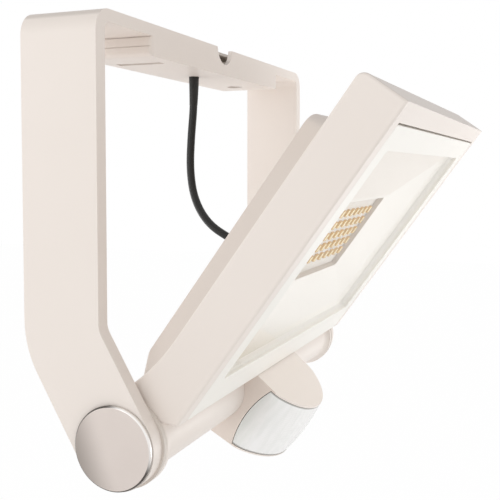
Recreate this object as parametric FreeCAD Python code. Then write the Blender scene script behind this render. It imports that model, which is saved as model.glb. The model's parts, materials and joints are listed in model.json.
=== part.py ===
# Floodlight with motion sensor on a yoke bracket.
# Sizes in millimetres, +Z up, origin at the centre of the mounting face, X along the pivot axis, light thrown to -Y.
import FreeCAD, Part
import math
import os

Vec = FreeCAD.Vector
os.makedirs("parts", exist_ok=True)

# General sizes
wall = 3.0
shaft_gap = 0.05
screw_clearance = 0.2
screw_head_clearance = 0.3

# Bracket
bracket_width = 340.0
arm_thick = 9.0
arm_half_width = 23.5
plate_thick = 7.0
outer_corner_radius = 13.0
inner_corner_radius = 5.0
box_half_length = 109.0
box_height = 18.7
box_corner_radius = 3.0
box_step_one = 7.0
box_step_two = 12.5
step_depth = 0.6
notch_half_width = 12.8
notch_depth = 11.4
hook_from_box_end = 31.0
hook_slot_y = 1.5
hook_slot_length = 31.0
hook_slot_width = 8.0
clamp_from_box_end = 30.0
clamp_y = 2.0
clamp_recess_radius = 6.0
clamp_recess_depth = 3.5
clamp_boss_height = 3.0
bend_z = -176.3
bend_front_radius = 12.0
bend_rear_radius = 59.0

# Pivot
pivot_y = -32.5
pivot_z = -231.7
rest_tilt = 35.7
bolt_radius = 5.0
bolt_head_radius = 8.0
bolt_head_thick = 4.2
bolt_length_in_tube = 22.0
bolt_socket_radius = 3.0
bolt_socket_depth = 2.5
washer_radius = 12.0
washer_thick = 1.2
recess_radius = 18.7
recess_floor = 3.0
cap_radius = 22.9
cap_proud = 2.7
cap_shadow_gap = 0.5
cap_rim_bevel = 0.7
cap_spigot_wall = 2.0
cap_spigot_depth = 5.0
cap_spigot_gap = 0.2
spacer_radius = 25.0
spacer_thick = 3.0
tube_radius = 21.0
tube_wall = 4.0
tube_plug_length = 24.0
neck_radius = 24.5
neck_length = 6.0

# Lamp head, measured from the pivot: height up along the head and depth towards the light
side_wall = 4.0
head_top = 232.3
head_bottom = 30.0
head_front = 18.5
head_back = 9.5
ear_radius = 25.0
ear_blend_radius = 115.0
ear_front_height = 22.7
rail_height = 11.3
side_rim = 11.0
head_corner_radius = 5.0
head_edge_radius = 1.6
corner_step_height = 27.0

# Front frame, glass and reflector
bezel_gap = 0.5
rail_shadow_gap = 1.2
bezel_bottom = 27.5
bezel_depth = 6.0
bezel_lip = 1.7
bezel_side_width = 16.5
bezel_bottom_width = 24.5
bezel_top_width = 14.8
window_corner_radius = 3.0
glass_lap = 1.5
glass_thick = 3.3
seal_thick = 1.0
reflector_thick = 1.2
led_window_half_width = 49.0
led_window_bottom = 96.5
led_window_top = 157.8
led_window_depth = 3.0

# Light source
board_half_width = 60.0
board_bottom = 88.0
board_top = 166.0
board_thick = 1.6
board_front = -0.9
led_columns = 8
led_rows = 5
led_pitch_x = 12.0
led_pitch_up = 9.2
led_centre_up = 127.2
led_width = 5.0
led_length = 5.4
led_height = 1.6
board_screw_x = 55.0
board_screw_inset = 5.0
board_screw_radius = 1.5
board_screw_head_radius = 2.8
board_screw_head = 1.6

# Rear cover and driver
cover_wall = 2.5
cover_back = 24.0
cover_base_top = 203.0
cover_base_bottom = 19.0
cover_top = 199.5
cover_bottom = 34.0
cover_side_draft = 17.0
cover_corner_radius = 8.0
cover_edge_radius = 5.0
cover_scoop_radius = 31.0
cover_seal_thick = 0.8
cover_seal_inset = 0.3
cover_screw_x = 118.0
cover_screw_low = 58.0
cover_screw_high = 184.0
cover_screw_radius = 1.6
cover_screw_head_radius = 3.3
cover_screw_head = 2.4
cover_boss_radius = 5.2
cover_screw_recess = 4.0
driver_half_width = 52.0
driver_bottom = 112.0
driver_top = 166.0
driver_depth = 9.5

# Sensor, measured from the pivot like the head
sensor_half_width = 38.0
sensor_radius = 27.6
sensor_taper_top = 3.5
sensor_taper_bottom = 6.5
sensor_wall = 2.2
sensor_nose = 59.0
sensor_nose_radius = 43.0
sensor_barrel = 2.0
nose_corner_radius = 12.0
lens_edge_half_height = 22.0
lens_joint_depth = 27.3
lens_joint_radius = 66.7
lens_joint_gap = 0.4
lens_wall = 1.6
lens_lap = 0.25
visor_thick = 1.6
sensor_board_depth = 23.5
sensor_board_thick = 1.6
sensor_board_side_gap = 0.3
sensor_board_half_height = 19.0
pir_radius = 4.6
pir_height = 4.4
pir_flange_radius = 5.3
pir_flange_thick = 0.8
dial_x = 11.0
dial_depth = 12.0
dial_radius = 4.5
dial_proud = 1.4
dial_stem = 2.6
dial_slot = 1.2
dial_recess_radius = 5.2
dial_recess_depth = 0.8

# Fixing strip and terminals inside the crossbar
strip_end_gap = 8.0
strip_half_width = 13.0
strip_thick = 2.0
strip_hole_radius = 2.5
strip_hole_spacing = 120.0
hook_thick = 1.5
hook_half_width = 14.0
clamp_screw_radius = 2.0
clamp_head_radius = 4.0
clamp_head_thick = 2.5
clamp_boss_radius = 8.0
clamp_nut_half_width = 5.0
clamp_nut_thick = 4.0
terminal_x = 22.0
terminal_length = 27.0
terminal_width = 17.0
terminal_height = 11.0
terminal_pitch = 8.5
terminal_screw_radius = 1.9
terminal_screw_height = 1.0

# Lead between the crossbar and the head
lead_diameter = 5.6
relief_length = 20.0
relief_top_radius = 3.6
relief_end_radius = 3.0
relief_flange_radius = 5.6
relief_flange_thick = 2.0
relief_neck_gap = 0.1
gland_up = 79.0
gland_length = 11.0
gland_base_radius = 7.5
gland_base_thick = 4.0
gland_tip_radius = 4.4

# Route of the lead in the plane X = 0, as (Y, Z); the last point is the mouth of the gland
lead_route = [
    (0.8, -13.7),
    (0.8, -37.5),
    (3.2, -61.5),
    (4.3, -86.0),
    (0.6, -107.5),
    (-10.5, -124.5),
    (-28.0, -134.5),
    (-41.25, -140.71),
]

# Places that follow from the sizes above
outer_x = bracket_width / 2
inner_x = outer_x - arm_thick
head_x = inner_x - spacer_thick
ear_inner_x = head_x - side_wall
recess_x = inner_x + recess_floor
rim_inner_x = head_x - side_rim
inside_front = head_front - bezel_depth
bezel_half_width = rim_inner_x - bezel_gap
bezel_top = head_top - rail_height - rail_shadow_gap
window_half_width = bezel_half_width - bezel_side_width
window_bottom = bezel_bottom + bezel_bottom_width
window_top = bezel_top - bezel_top_width
glass_front = head_front - bezel_lip
glass_back = glass_front - glass_thick
flange_front = glass_back - seal_thick
flange_back = flange_front - reflector_thick
floor_front = -(head_back - wall)
board_back = board_front - board_thick
lead_radius = lead_diameter / 2
lead_x = 0.0
exit_y = lead_route[0][0]
box_floor = -box_height + wall
box_inner_half = box_half_length - wall
hook_slot_x = hook_from_box_end - box_half_length
clamp_x = box_half_length - clamp_from_box_end
cover_back_half_width = ear_inner_x - cover_side_draft
cap_spigot_radius = recess_radius - cap_spigot_gap
strip_half_length = box_inner_half - strip_end_gap


def box(x0, x1, y0, y1, z0, z1):
    return Part.makeBox(x1 - x0, y1 - y0, z1 - z0, Vec(x0, y0, z0))


def rod_x(radius, x0, x1, y=0.0, z=0.0):
    return Part.makeCylinder(radius, x1 - x0, Vec(x0, y, z), Vec(1, 0, 0))


def rod_y(radius, y0, y1, x=0.0, z=0.0):
    return Part.makeCylinder(radius, y1 - y0, Vec(x, y0, z), Vec(0, 1, 0))


def rod_z(radius, z0, z1, x=0.0, y=0.0):
    return Part.makeCylinder(radius, z1 - z0, Vec(x, y, z0), Vec(0, 0, 1))


def rounded_wire(corners, to_point):
    """Closed wire through corners (a, b, radius), each rounded by its radius."""
    edges = []
    starts = []
    ends = []
    arcs = []
    count = len(corners)
    for i, (a, b, radius) in enumerate(corners):
        here = Vec(a, b, 0)
        before = Vec(corners[i - 1][0], corners[i - 1][1], 0)
        after = Vec(corners[(i + 1) % count][0], corners[(i + 1) % count][1], 0)
        inward = (before - here).normalize()
        outward = (after - here).normalize()
        if radius <= 0:
            starts.append(here)
            ends.append(here)
            arcs.append(None)
            continue
        half = inward.getAngle(outward) / 2
        reach = radius / math.tan(half)
        middle = (inward + outward).normalize()
        centre = here + middle * (radius / math.sin(half))
        starts.append(here + inward * reach)
        ends.append(here + outward * reach)
        arcs.append(centre - middle * radius)
    for i in range(count):
        if arcs[i] is not None:
            points = [to_point(starts[i]), to_point(arcs[i]), to_point(ends[i])]
            edges.append(Part.Arc(*points).toShape())
        nxt = starts[(i + 1) % count]
        if (nxt - ends[i]).Length > 1e-6:
            edges.append(Part.LineSegment(to_point(ends[i]), to_point(nxt)).toShape())
    return Part.Wire(edges)


def slab_x(corners, x0, x1):
    """Outline in (Y, Z) drawn out along X."""
    wire = rounded_wire(corners, lambda p: Vec(x0, p.x, p.y))
    return Part.Face(wire).extrude(Vec(x1 - x0, 0, 0))


def slab_y(corners, y0, y1):
    """Outline in (X, Z) drawn out along Y."""
    wire = rounded_wire(corners, lambda p: Vec(p.x, y0, p.y))
    return Part.Face(wire).extrude(Vec(0, y1 - y0, 0))


def slab_z(corners, z0, z1):
    """Outline in (X, Y) drawn out along Z."""
    wire = rounded_wire(corners, lambda p: Vec(p.x, p.y, z0))
    return Part.Face(wire).extrude(Vec(0, 0, z1 - z0))


def rectangle(half_width, bottom, top, radius, y):
    corners = [(-half_width, bottom, radius), (half_width, bottom, radius)]
    corners += [(half_width, top, radius), (-half_width, top, radius)]
    return rounded_wire(corners, lambda p: Vec(p.x, y, p.y))


def plate_y(half_width, bottom, top, radius, y0, y1):
    return Part.Face(rectangle(half_width, bottom, top, radius, y0)).extrude(Vec(0, y1 - y0, 0))


def frustum_y(first, second):
    """Solid between two rounded rectangles given as (half_width, bottom, top, radius, y)."""
    return Part.makeLoft([rectangle(*first), rectangle(*second)], True, True)


def mirrored(shape):
    return shape.mirror(Vec(0, 0, 0), Vec(1, 0, 0))


def tilted(shape):
    """Turn a shape from the pivot's own frame into its place on the bracket."""
    turned = shape.copy()
    turned.rotate(Vec(0, 0, 0), Vec(1, 0, 0), rest_tilt)
    turned.translate(Vec(0, pivot_y, pivot_z))
    return turned


def tidy(shape):
    """Merge faces that continue each other and return the solid."""
    merged = shape.removeSplitter()
    return merged.Solids[0] if len(merged.Solids) == 1 else merged


def arm_outline():
    """Side view of one arm: upright, bent forward to a round end about the pivot."""
    lean = math.atan2(-pivot_y, bend_z - pivot_z)
    down = Vec(-math.sin(lean), -math.cos(lean), 0)
    front = Vec(-math.cos(lean), math.sin(lean), 0)
    pivot = Vec(pivot_y, pivot_z, 0)
    corner = arm_half_width * math.tan(lean / 2)
    front_end = pivot + (down + front) * arm_half_width
    rear_end = pivot + (down - front) * arm_half_width
    return [
        (arm_half_width, 0.0, 0.0),
        (-arm_half_width, 0.0, 0.0),
        (-arm_half_width, bend_z + corner, bend_front_radius),
        (front_end.x, front_end.y, arm_half_width),
        (rear_end.x, rear_end.y, arm_half_width),
        (arm_half_width, bend_z - corner, bend_rear_radius),
    ]


def yoke_outline():
    """Front view of the yoke: two arms joined by a thin plate."""
    low = pivot_z - 2 * arm_half_width
    return [
        (-outer_x, 0.0, outer_corner_radius),
        (outer_x, 0.0, outer_corner_radius),
        (outer_x, low, 0.0),
        (inner_x, low, 0.0),
        (inner_x, -plate_thick, inner_corner_radius),
        (-inner_x, -plate_thick, inner_corner_radius),
        (-inner_x, low, 0.0),
        (-outer_x, low, 0.0),
    ]


def crossbar_box():
    """Terminal box under the plate, stepped at its ends like a lid on a tray."""
    corners = [
        (-box_half_length, -plate_thick + 1, 0.0),
        (-box_half_length, -box_height, box_corner_radius),
        (box_half_length, -box_height, box_corner_radius),
        (box_half_length, -plate_thick + 1, 0.0),
    ]
    body = slab_y(corners, -arm_half_width, arm_half_width)
    plan = [(side * box_half_length, depth * arm_half_width, box_corner_radius)
            for side, depth in ((-1, -1), (1, -1), (1, 1), (-1, 1))]
    body = body.common(slab_z(plan, -box_height, 0))
    for side in (-1, 1):
        for level in (box_step_one, box_step_two):
            line = box(-step_depth, step_depth, -arm_half_width, arm_half_width, -step_depth, 0)
            line.translate(Vec(side * box_half_length, 0, -level))
            body = body.cut(line)
    return body


def make_bracket():
    reach = arm_half_width + abs(pivot_y) * 3
    yoke = slab_x(arm_outline(), -outer_x, outer_x)
    yoke = yoke.common(slab_y(yoke_outline(), -reach, reach))
    body = yoke.fuse(crossbar_box())
    inside = arm_half_width - wall
    body = body.cut(box(-box_inner_half, box_inner_half, -inside, inside, box_floor, 1))
    boss_top = box_floor + clamp_boss_height
    boss = rod_z(clamp_boss_radius, box_floor - 1, boss_top, clamp_x, clamp_y)
    body = body.fuse(boss)
    notch_radius = (notch_half_width ** 2 + notch_depth ** 2) / (2 * notch_depth)
    notch = rod_y(notch_radius, -arm_half_width - 1, -inside + 1, 0, notch_radius - notch_depth)
    body = body.cut(notch)
    slot = box(hook_slot_x - hook_slot_width / 2, hook_slot_x + hook_slot_width / 2,
               hook_slot_y - hook_slot_length / 2, hook_slot_y + hook_slot_length / 2, -box_height - 1, box_floor + 1)
    body = body.cut(slot)
    body = body.cut(rod_z(clamp_recess_radius, -box_height - 1, -box_height + clamp_recess_depth, clamp_x, clamp_y))
    body = body.cut(rod_z(clamp_screw_radius + screw_clearance, -box_height, boss_top + 1, clamp_x, clamp_y))
    neck = relief_top_radius + relief_neck_gap
    body = body.cut(rod_z(neck, -box_height - 1, box_floor + 1, lead_x, exit_y))
    for side in (-1, 1):
        bore = rod_x(bolt_radius + shaft_gap, inner_x - 1, outer_x + 1, pivot_y, pivot_z)
        recess = rod_x(recess_radius, recess_x, outer_x + 1, pivot_y, pivot_z)
        for hole in (bore, recess):
            body = body.cut(hole if side > 0 else mirrored(hole))
    return tidy(body)


def make_mounting_strip():
    """Steel strip on the wall: a hook tongue at one end and a tapped nut at the other."""
    strip = box(-strip_half_length, strip_half_length, -strip_half_width, strip_half_width, -strip_thick, 0)
    hook = box(hook_slot_x - hook_thick / 2, hook_slot_x + hook_thick / 2,
               hook_slot_y - hook_half_width, hook_slot_y + hook_half_width, -box_height + 0.5, -strip_thick + 0.5)
    nut_top = -strip_thick + 0.5
    nut = box(clamp_x - clamp_nut_half_width, clamp_x + clamp_nut_half_width,
              clamp_y - clamp_nut_half_width, clamp_y + clamp_nut_half_width,
              -strip_thick - clamp_nut_thick, nut_top)
    body = strip.fuse(hook).fuse(nut)
    body = body.cut(rod_z(clamp_screw_radius, -strip_thick - clamp_nut_thick - 1, 1, clamp_x, clamp_y))
    for side in (-1, 1):
        hole_x = side * strip_hole_spacing / 2
        body = body.cut(rod_z(strip_hole_radius, -strip_thick - 1, 1, hole_x, 0))
    return tidy(body)


def make_clamp_screw():
    seat = -box_height + clamp_recess_depth
    head = rod_z(clamp_head_radius, seat - clamp_head_thick, seat, clamp_x, clamp_y)
    shank = rod_z(clamp_screw_radius, seat - 1, -strip_thick, clamp_x, clamp_y)
    slot = box(clamp_x - clamp_head_radius, clamp_x + clamp_head_radius, clamp_y - 0.5, clamp_y + 0.5,
               seat - clamp_head_thick, seat - clamp_head_thick + 1)
    return tidy(head.fuse(shank).cut(slot))


def make_terminal_block():
    body = box(terminal_x, terminal_x + terminal_length, -terminal_width / 2, terminal_width / 2,
               box_floor, box_floor + terminal_height)
    for i in range(3):
        x = terminal_x + terminal_length / 2 + (i - 1) * terminal_pitch
        for side in (-1, 1):
            entry = rod_y(1.6, -terminal_width / 2, -terminal_width / 2 + 5, x, box_floor + 3.5)
            if side > 0:
                entry.translate(Vec(0, terminal_width - 5, 0))
            body = body.cut(entry)
            well = rod_z(terminal_screw_radius, box_floor + terminal_height - 2.5,
                         box_floor + terminal_height + 1, x, side * terminal_width / 4)
            body = body.cut(well)
    return tidy(body)


def make_terminal_screws():
    screws = []
    base = box_floor + terminal_height - 2.5
    for i in range(3):
        x = terminal_x + terminal_length / 2 + (i - 1) * terminal_pitch
        for side in (-1, 1):
            y = side * terminal_width / 4
            head = rod_z(terminal_screw_radius - 0.1, base, base + terminal_screw_height, x, y)
            slot = box(x - terminal_screw_radius, x + terminal_screw_radius, y - 0.3, y + 0.3,
                       base + terminal_screw_height - 0.4, base + terminal_screw_height + 1)
            screws.append(head.cut(slot))
    return Part.makeCompound(screws)


def route_points():
    """Route of the lead with its last point at the mouth of the gland."""
    tilt = math.radians(rest_tilt)
    depth = -(cover_back + gland_length)
    mouth_y = pivot_y - math.sin(tilt) * gland_up - math.cos(tilt) * depth
    mouth_z = pivot_z + math.cos(tilt) * gland_up - math.sin(tilt) * depth
    return [Vec(lead_x, y, z) for y, z in lead_route] + [Vec(lead_x, mouth_y, mouth_z)]


def make_lead():
    """Round tube along straight runs joined by tangent arcs."""
    points = route_points()
    runs = [(b - a).Length for a, b in zip(points, points[1:])]
    edges = []
    start = points[0]
    for i in range(1, len(points) - 1):
        back = (points[i - 1] - points[i]).normalize()
        ahead = (points[i + 1] - points[i]).normalize()
        turn = math.pi - back.getAngle(ahead)
        reach = 0.45 * min(runs[i - 1], runs[i])
        radius = reach / math.tan(turn / 2)
        first = points[i] + back * reach
        last = points[i] + ahead * reach
        inner = (back + ahead).normalize()
        middle = points[i] + inner * (radius / math.cos(turn / 2) - radius)
        edges.append(Part.LineSegment(start, first).toShape())
        edges.append(Part.Arc(first, middle, last).toShape())
        start = last
        print("lead point", i, "turn", round(math.degrees(turn), 1), "radius", round(radius, 1))
    edges.append(Part.LineSegment(start, points[-1]).toShape())
    path = Part.Wire(edges)
    section = Part.Wire([Part.makeCircle(lead_radius, points[0], points[1] - points[0])])
    tube = path.makePipeShell([section], True, False)
    expected = math.pi * lead_radius ** 2 * path.Length
    print("lead length", round(path.Length, 1), "volume", round(tube.Volume), "section by length", round(expected))
    return tube


def make_strain_relief_top():
    """Tapered sleeve under the crossbar, held by a flange inside and gripping the lead."""
    flange = rod_z(relief_flange_radius, box_floor, box_floor + relief_flange_thick, lead_x, exit_y)
    neck = rod_z(relief_top_radius, -box_height, box_floor, lead_x, exit_y)
    cone = Part.makeCone(relief_top_radius, relief_end_radius, relief_length,
                         Vec(lead_x, exit_y, -box_height), Vec(0, 0, -1))
    bore = rod_z(lead_radius, -box_height - relief_length - 1, 0, lead_x, exit_y)
    return tidy(flange.fuse(neck).fuse(cone).cut(bore))


def make_cap():
    face = outer_x + cap_shadow_gap
    front = outer_x + cap_proud
    profile = [
        (face, 0), (front, 0), (front, cap_radius - cap_rim_bevel), (front - cap_rim_bevel, cap_radius),
        (face, cap_radius), (face, cap_spigot_radius), (face - cap_spigot_depth, cap_spigot_radius),
        (face - cap_spigot_depth, cap_spigot_radius - cap_spigot_wall),
        (face, cap_spigot_radius - cap_spigot_wall),
    ]
    wire = Part.makePolygon([Vec(x, r, 0) for x, r in profile] + [Vec(face, 0, 0)])
    cap = Part.Face(wire).revolve(Vec(0, 0, 0), Vec(1, 0, 0), 360)
    cap.translate(Vec(0, pivot_y, pivot_z))
    return cap


def make_spacer():
    ring = rod_x(spacer_radius, head_x, inner_x, pivot_y, pivot_z)
    return ring.cut(rod_x(bolt_radius + shaft_gap, head_x - 1, inner_x + 1, pivot_y, pivot_z))


def make_washer():
    ring = rod_x(washer_radius, recess_x, recess_x + washer_thick)
    return tilted(ring.cut(rod_x(bolt_radius, recess_x - 1, recess_x + washer_thick + 1)))


def make_pivot_bolt():
    seat = recess_x + washer_thick
    head = rod_x(bolt_head_radius, seat, seat + bolt_head_thick)
    shank = rod_x(bolt_radius, ear_inner_x - bolt_length_in_tube, seat + 1)
    body = head.fuse(shank)
    turns = [math.radians(60 * i) for i in range(6)]
    corners = [(bolt_socket_radius * math.cos(t), bolt_socket_radius * math.sin(t), 0) for t in turns]
    socket = slab_x(corners, seat + bolt_head_thick - bolt_socket_depth, seat + bolt_head_thick + 1)
    return tilted(tidy(body.cut(socket)))


def make_pivot_tube():
    """Tube from ear to ear, flared to a neck at each end, with plugs tapped for the bolts."""
    end = ear_inner_x
    neck_start = end - neck_length
    flare = neck_radius - tube_radius
    sweep = Vec(neck_start + neck_length * 0.65, tube_radius + flare * 0.25, 0)
    inner = end - tube_plug_length
    bore = tube_radius - tube_wall
    edges = [
        Part.LineSegment(Vec(0, bore, 0), Vec(0, tube_radius, 0)).toShape(),
        Part.LineSegment(Vec(0, tube_radius, 0), Vec(neck_start, tube_radius, 0)).toShape(),
        Part.Arc(Vec(neck_start, tube_radius, 0), sweep, Vec(end, neck_radius, 0)).toShape(),
        Part.LineSegment(Vec(end, neck_radius, 0), Vec(end, bolt_radius, 0)).toShape(),
        Part.LineSegment(Vec(end, bolt_radius, 0), Vec(inner, bolt_radius, 0)).toShape(),
        Part.LineSegment(Vec(inner, bolt_radius, 0), Vec(inner, bore, 0)).toShape(),
        Part.LineSegment(Vec(inner, bore, 0), Vec(0, bore, 0)).toShape(),
    ]
    half = Part.Face(Part.Wire(edges)).revolve(Vec(0, 0, 0), Vec(1, 0, 0), 360)
    return tilted(tidy(half.fuse(mirrored(half))))


def ear_plate(x0, x1):
    """Side plate of the head with its ear round the pivot and the concave blend behind."""
    reach = ear_radius + ear_blend_radius
    centre_depth = head_back + ear_blend_radius
    blend_up = math.sqrt(reach ** 2 - centre_depth ** 2)
    touch = Vec(x0, centre_depth * ear_radius / reach, blend_up * ear_radius / reach)
    blend_mid_angle = (math.atan2(-blend_up, -centre_depth) + math.pi * (-1)) / 2
    blend_mid = Vec(x0, centre_depth + ear_blend_radius * math.cos(blend_mid_angle),
                    blend_up + ear_blend_radius * math.sin(blend_mid_angle))
    front_touch = Vec(x0, -math.sqrt(ear_radius ** 2 - ear_front_height ** 2), ear_front_height)
    turn = head_corner_radius
    inset = turn * (1 - math.sqrt(0.5))
    rear_top = Vec(x0, head_back, head_top - turn)
    top_rear = Vec(x0, head_back - turn, head_top)
    blend_start = Vec(x0, head_back, blend_up)
    edges = [
        Part.LineSegment(rear_top, blend_start).toShape(),
        Part.Arc(blend_start, blend_mid, touch).toShape(),
        Part.Arc(touch, Vec(x0, -ear_radius * 0.6, -ear_radius * 0.8), front_touch).toShape(),
        Part.LineSegment(front_touch, Vec(x0, -head_front, corner_step_height)).toShape(),
        Part.LineSegment(Vec(x0, -head_front, corner_step_height), Vec(x0, -head_front, head_top)).toShape(),
        Part.LineSegment(Vec(x0, -head_front, head_top), top_rear).toShape(),
        Part.Arc(top_rear, Vec(x0, head_back - inset, head_top - inset), rear_top).toShape(),
    ]
    plate = Part.Face(Part.Wire(edges)).extrude(Vec(x1 - x0, 0, 0))
    outer = [edge for edge in plate.Edges if all(abs(v.X - x1) < 1e-6 for v in edge.Vertexes)]
    return plate.makeFillet(head_edge_radius, outer)


def tray_form(front, back, bottom, top, half, radius):
    """Block across the head with its rear top corner rounded."""
    corners = [(-front, bottom, 0.0), (back, bottom, 0.0), (back, top, radius), (-front, top, 0.0)]
    return slab_x(corners, -half, half)


def make_head_housing():
    """Tray with side plates, a top rail over the front frame and a pad for the light source."""
    inner = ear_inner_x
    body = tray_form(inside_front, head_back, head_bottom, head_top, inner, head_corner_radius)
    inside = tray_form(head_front, -floor_front, head_bottom + wall, head_top - wall, inner + 1,
                       head_corner_radius - wall)
    body = body.cut(inside)
    rail = box(-inner, inner, -head_front, -inside_front, head_top - rail_height, head_top)
    rim = box(rim_inner_x, inner, -head_front, -inside_front, corner_step_height, head_top)
    body = body.fuse(rail).fuse(rim).fuse(mirrored(rim))
    pad = box(-board_half_width - 2, board_half_width + 2, -board_back, -floor_front + 1,
              board_bottom - 2, board_top + 2)
    body = body.fuse(pad)
    plate = ear_plate(ear_inner_x, head_x)
    for side_plate in (plate, mirrored(plate)):
        body = body.fuse(side_plate)
    bolt = rod_x(bolt_radius, ear_inner_x - 1, head_x + 1)
    body = body.cut(bolt).cut(mirrored(bolt))
    for x, up in board_screw_places():
        body = body.cut(rod_y(board_screw_radius, -board_back - 1, head_back - 1, x, up))
    for x, up in cover_screw_places():
        body = body.cut(rod_y(cover_screw_radius, -floor_front - 1, head_back + 1, x, up))
    body = body.cut(rod_y(lead_radius, -floor_front - 1, head_back + 1, 0, gland_up))
    return tilted(tidy(body))


def board_screw_places():
    ups = (board_bottom + board_screw_inset, board_top - board_screw_inset)
    return [(side * board_screw_x, up) for side in (-1, 1) for up in ups]


def cover_screw_places():
    return [(side * cover_screw_x, up) for side in (-1, 1) for up in (cover_screw_low, cover_screw_high)]


def make_front_bezel():
    """Front frame with the window, a lip over the glass and a rebate behind it."""
    body = plate_y(bezel_half_width, bezel_bottom, bezel_top, 2.0, -head_front, -inside_front)
    window = plate_y(window_half_width, window_bottom, window_top, window_corner_radius,
                     -head_front - 1, -inside_front + 1)
    lap = glass_lap + bezel_gap
    rebate = plate_y(window_half_width + lap, window_bottom - lap, window_top + lap, window_corner_radius,
                     -glass_front, -inside_front + 1)
    return tilted(tidy(body.cut(window).cut(rebate)))


def make_glass():
    pane = plate_y(window_half_width + glass_lap, window_bottom - glass_lap, window_top + glass_lap,
                   window_corner_radius, -glass_front, -glass_back)
    return tilted(pane)


def make_glass_seal():
    half = window_half_width
    body = plate_y(half + glass_lap, window_bottom - glass_lap, window_top + glass_lap,
                   window_corner_radius, -glass_back, -flange_front)
    hole = plate_y(half, window_bottom, window_top, window_corner_radius, -glass_back - 1, -flange_front + 1)
    return tilted(body.cut(hole))


def make_reflector():
    """Flange behind the glass with a four-sided hollow down to the light source."""
    half = ear_inner_x - bezel_gap
    bottom = head_bottom + wall + bezel_gap
    top = head_top - wall - bezel_gap
    flange = plate_y(half, bottom, top, 1.0, -flange_front, -flange_back)
    rim = (window_half_width, window_bottom, window_top, window_corner_radius, -flange_front)
    low = (led_window_half_width, led_window_bottom, led_window_top, 1.0, -led_window_depth)
    skin = reflector_thick
    rim_out = (rim[0] + skin, rim[1] - skin, rim[2] + skin, rim[3], -flange_front)
    low_out = (low[0] + skin, low[1] - skin, low[2] + skin, 1.0, -led_window_depth + skin)
    body = frustum_y(rim_out, low_out)
    collar = plate_y(low_out[0], low_out[1], low_out[2], 1.0, -led_window_depth, -board_front)
    body = body.fuse(flange).fuse(collar)
    hollow = frustum_y(rim, low)
    well = plate_y(low[0], low[1], low[2], 1.0, -led_window_depth - 0.5, -board_front + 1)
    return tilted(tidy(body.cut(hollow).cut(well)))


def make_led_board():
    body = plate_y(board_half_width, board_bottom, board_top, 1.5, -board_front, -board_back)
    for x, up in board_screw_places():
        body = body.cut(rod_y(board_screw_radius + screw_clearance, -board_front - 1, -board_back + 1, x, up))
    return tilted(body)


def make_led_chips():
    chips = []
    for column in range(led_columns):
        x = (column - (led_columns - 1) / 2) * led_pitch_x
        for row in range(led_rows):
            up = led_centre_up + (row - (led_rows - 1) / 2) * led_pitch_up
            chip = box(x - led_width / 2, x + led_width / 2, -board_front - led_height, -board_front,
                       up - led_length / 2, up + led_length / 2)
            chips.append(chip)
    return tilted(Part.makeCompound(chips))


def make_board_screws():
    screws = []
    for x, up in board_screw_places():
        head = rod_y(board_screw_head_radius, -board_front - board_screw_head, -board_front, x, up)
        shank = rod_y(board_screw_radius, -board_front - 0.5, -floor_front, x, up)
        screws.append(head.fuse(shank))
    return tilted(Part.makeCompound(screws))


def cover_form(shrink, seat, back):
    """Drafted form of the rear cover, made smaller all round by shrink."""
    slope = (ear_inner_x - cover_back_half_width) / (cover_back - head_back)
    side = ear_inner_x - shrink * math.sqrt(1 + slope ** 2)
    wide = (side, cover_base_bottom + shrink, cover_base_top - shrink, cover_corner_radius, head_back)
    narrow_half = cover_back_half_width - shrink * math.sqrt(1 + slope ** 2)
    narrow = (narrow_half, cover_bottom + shrink, cover_top - shrink, cover_corner_radius, cover_back)
    form = frustum_y(wide, narrow)
    if shrink == 0:
        rear = [edge for edge in form.Edges if all(abs(v.Y - cover_back) < 1e-6 for v in edge.Vertexes)]
        form = form.makeFillet(cover_edge_radius, rear)
    reach = head_x * 2
    form = form.common(box(-reach, reach, seat, back, -reach, reach))
    scoop = cover_scoop_radius + shrink
    return form.cut(rod_x(scoop, -reach, reach))


def make_driver_cover():
    """Shallow drafted shell over the driver, hollowed round the pivot, with screw bosses inside."""
    seat = head_back + cover_seal_thick
    body = cover_form(0.0, seat, cover_back)
    hollow = cover_form(cover_wall, seat - 1, cover_back - cover_wall)
    body = body.cut(hollow)
    for x, up in cover_screw_places():
        body = body.fuse(rod_y(cover_boss_radius, seat, cover_back - 1, x, up))
        body = body.cut(rod_y(cover_screw_radius + screw_clearance, seat - 1, cover_back, x, up))
        well = cover_screw_head_radius + screw_head_clearance
        body = body.cut(rod_y(well, cover_back - cover_screw_recess, cover_back + 1, x, up))
    body = body.cut(rod_y(lead_radius, cover_back - cover_wall - 1, cover_back + 1, 0, gland_up))
    return tilted(tidy(body))


def make_cover_seal():
    ring = cover_form(cover_seal_inset, head_back, head_back + cover_seal_thick)
    ring = ring.cut(cover_form(cover_wall, head_back - 1, head_back + cover_seal_thick + 1))
    above = box(-head_x, head_x, 0, cover_back, head_bottom, head_top)
    return tilted(tidy(ring.common(above)))


def make_cover_screws():
    screws = []
    seat = cover_back - cover_screw_recess
    for x, up in cover_screw_places():
        head = rod_y(cover_screw_head_radius, seat, seat + cover_screw_head, x, up)
        shank = rod_y(cover_screw_radius, -floor_front, seat + 0.5, x, up)
        slot = box(x - 2.2, x + 2.2, seat + cover_screw_head - 1, seat + cover_screw_head + 1, up - 0.4, up + 0.4)
        cross = box(x - 0.4, x + 0.4, seat + cover_screw_head - 1, seat + cover_screw_head + 1, up - 2.2, up + 2.2)
        screws.append(head.fuse(shank).cut(slot).cut(cross))
    return tilted(Part.makeCompound(screws))


def make_driver():
    body = plate_y(driver_half_width, driver_bottom, driver_top, 2.0, head_back, head_back + driver_depth)
    return tilted(body)


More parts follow.
